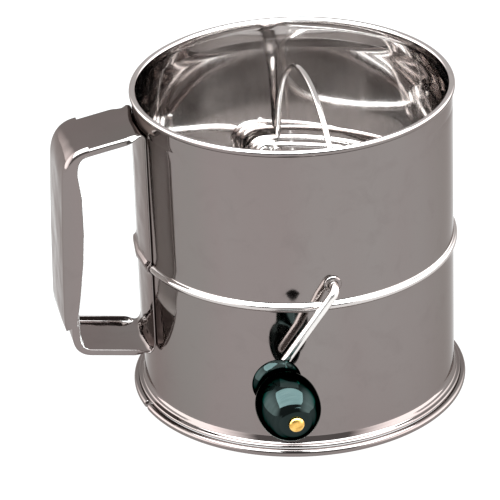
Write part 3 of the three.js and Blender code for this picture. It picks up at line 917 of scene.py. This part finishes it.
def channel_caps(rows, columns):
    """Faces that close both ends of a swept channel, between its outer and inner lines."""
    last = columns // 2  # the web's middle on the inner line
    k = np.arange(last // 2 - 1)
    strip = np.stack([k, k + 1, last - 1 - k, last - k], 1)
    tip = np.array([[last // 2 - 1, last // 2, last // 2 + 1]])
    caps = [strip, (columns - strip) % columns, tip, columns - tip]
    return [cap + shift for cap in caps for shift in (0, (rows - 1) * columns)]


def faces_drum(middle, normal):
    """Whether a handle face clear of the wall is turned to the drum, or down from the upper run; these faces
    get a painted highlight of near-white steel.
    """
    clear = -middle[0] > DRUM_R + 8
    return clear and (normal[0] > 0.35 or (normal[2] < -0.6 and middle[2] > BEAD_Z))


for name, shape, node in (
    ("handle_strap_loop", strap(), "handle_strap"),
    ("handle_grip_channel", grip(), "handle_grip"),
):
    piece = make_piece(name, *shape, "sifter_body", "polished_sheet", handle_steel, [node], sharp=55)
    # Painted highlight: the handle's faces turned to the drum take the near-white steel.
    give_some(piece, brushed_painted_highlight, faces_drum)


# Floor, light and camera, in metres

FLOOR_HALF = 9
VIEW_TURN = math.radians(-11.5)  # round the drum, from straight in front of the crank
VIEW_UP = math.radians(27.38)
VIEW_ROLL = math.radians(2.03)
VIEW_FAR = 1.8
VIEW_SHIFT = (0.02399, 0.01027)  # of the drum's middle, right and up from the picture's middle
LENS = 247.4
FRONT = VIEW_TURN - math.pi / 2  # the studio faces the camera's side
SOFTBOX_UP = math.radians(74)
SOFTBOX_FAR = 1.15
SOFTBOX_SIZE = (2.3, 1.6)
SOFTBOX_RADIANCE = 13
SOFTBOX_COLOUR = (0.86, 0.97, 1)
REAR_TO_FRONT = ((0.3, 0.85), (0.7, 0.35))  # the room's light: (share of the way across, level)
SIDE_TO_SIDE = ((0.05, 4.6), (0.24, 0.0), (0.76, 0.0), (0.95, 4.6))


def area_light(name, place, target, size, radiance, colour):
    """A soft light that the camera doesn't see, with its face at the target."""
    light = bpy.data.lights.new(name, "AREA")
    light.shape = "RECTANGLE"
    light.size, light.size_y = size
    light.energy = radiance * math.pi * size[0] * size[1]
    light.color = colour
    lamp = bpy.data.objects.new(name, light)
    lamp.location = place
    lamp.rotation_euler = (Vector(target) - Vector(place)).to_track_quat("-Z", "Y").to_euler()
    lamp.visible_camera = False
    bpy.context.scene.collection.objects.link(lamp)


def floor():
    """One plain pale floor that glows evenly, as a light table does, so that shadows on it stay faint."""
    n = Nodes("floor")
    grain = n.noise(400, detail=4)
    colour = n.ramp(grain, [(0.3, (0.042, 0.042, 0.042)), (0.7, (0.048, 0.048, 0.048))])
    n.link(colour, n.shader.inputs["Base Color"])
    n.shader.inputs["Roughness"].default_value = 0.9
    n.shader.inputs["Specular IOR Level"].default_value = 0.05
    n.shader.inputs["Emission Color"].default_value = (1, 1, 1, 1)
    n.shader.inputs["Emission Strength"].default_value = 1
    mesh = bpy.data.meshes.new("floor")
    corners = [(x * FLOOR_HALF, y * FLOOR_HALF, 0) for x, y in ((-1, -1), (1, -1), (1, 1), (-1, 1))]
    mesh.from_pydata(corners, [], [(0, 1, 2, 3)])
    mesh.materials.append(n.material)
    sheet = bpy.data.objects.new("floor", mesh)
    bpy.context.scene.collection.objects.link(sheet)


def studio():
    """One big softbox overhead, in a room with bright sides, a dimmer rear and a dark front."""
    world = bpy.data.worlds.new("studio")
    bpy.context.scene.world = world
    world.use_nodes = True
    tree = world.node_tree
    front = Vector((math.cos(FRONT), math.sin(FRONT), 0))
    facing = tree.nodes.new("ShaderNodeTexCoord").outputs["Generated"]
    levels = []
    for direction, stops in (
        (front, REAR_TO_FRONT),
        (front.cross(Vector((0, 0, 1))), SIDE_TO_SIDE),
    ):
        along = tree.nodes.new("ShaderNodeVectorMath")
        along.operation = "DOT_PRODUCT"
        along.inputs[1].default_value = direction
        shifted = tree.nodes.new("ShaderNodeMapRange")
        shifted.inputs["From Min"].default_value = -1
        ramp = tree.nodes.new("ShaderNodeValToRGB")
        elements = ramp.color_ramp.elements
        while len(elements) < len(stops):
            elements.new(0.5)
        for element, (position, level) in zip(elements, stops):
            element.position = position
            element.color = (level, level, level, 1)
        tree.links.new(facing, along.inputs[0])
        tree.links.new(along.outputs["Value"], shifted.inputs["Value"])
        tree.links.new(shifted.outputs["Result"], ramp.inputs[0])
        levels.append(ramp.outputs["Color"])
    total = tree.nodes.new("ShaderNodeVectorMath")
    total.operation = "ADD"
    tree.links.new(levels[0], total.inputs[0])
    tree.links.new(levels[1], total.inputs[1])
    tree.links.new(total.outputs["Vector"], tree.nodes["Background"].inputs["Color"])
    centre = Vector((AXIS[0] * MM, AXIS[1] * MM, 0.09))
    overhead = front * math.cos(SOFTBOX_UP) + Vector((0, 0, math.sin(SOFTBOX_UP)))
    place = centre + overhead * SOFTBOX_FAR
    area_light("softbox", place, centre, SOFTBOX_SIZE, SOFTBOX_RADIANCE, SOFTBOX_COLOUR)
    bpy.context.scene.view_settings.view_transform = "Standard"


def camera():
    """The viewing angle: from the crank's side, a little to the left and well above, rolled slightly."""
    right = Vector((math.cos(VIEW_TURN), math.sin(VIEW_TURN), 0))
    level = Vector((math.sin(VIEW_TURN), -math.cos(VIEW_TURN), 0))
    back = level * math.cos(VIEW_UP) + Vector((0, 0, math.sin(VIEW_UP)))
    up = back.cross(right)
    x = right * math.cos(VIEW_ROLL) - up * math.sin(VIEW_ROLL)
    y = right * math.sin(VIEW_ROLL) + up * math.cos(VIEW_ROLL)
    drum_middle = Vector((AXIS[0] * MM, AXIS[1] * MM, DRUM_H * MM / 2))
    aim = drum_middle - x * VIEW_SHIFT[0] - y * VIEW_SHIFT[1]
    data = bpy.data.cameras.new("camera")
    data.lens = LENS
    data.sensor_width = 36
    data.clip_start, data.clip_end = 0.05, 60
    viewer = bpy.data.objects.new("camera", data)
    turn = Matrix((x, y, back)).transposed().to_4x4()
    viewer.matrix_world = Matrix.Translation(aim + back * VIEW_FAR) @ turn
    bpy.context.scene.collection.objects.link(viewer)
    bpy.context.scene.camera = viewer


floor()
studio()
camera()
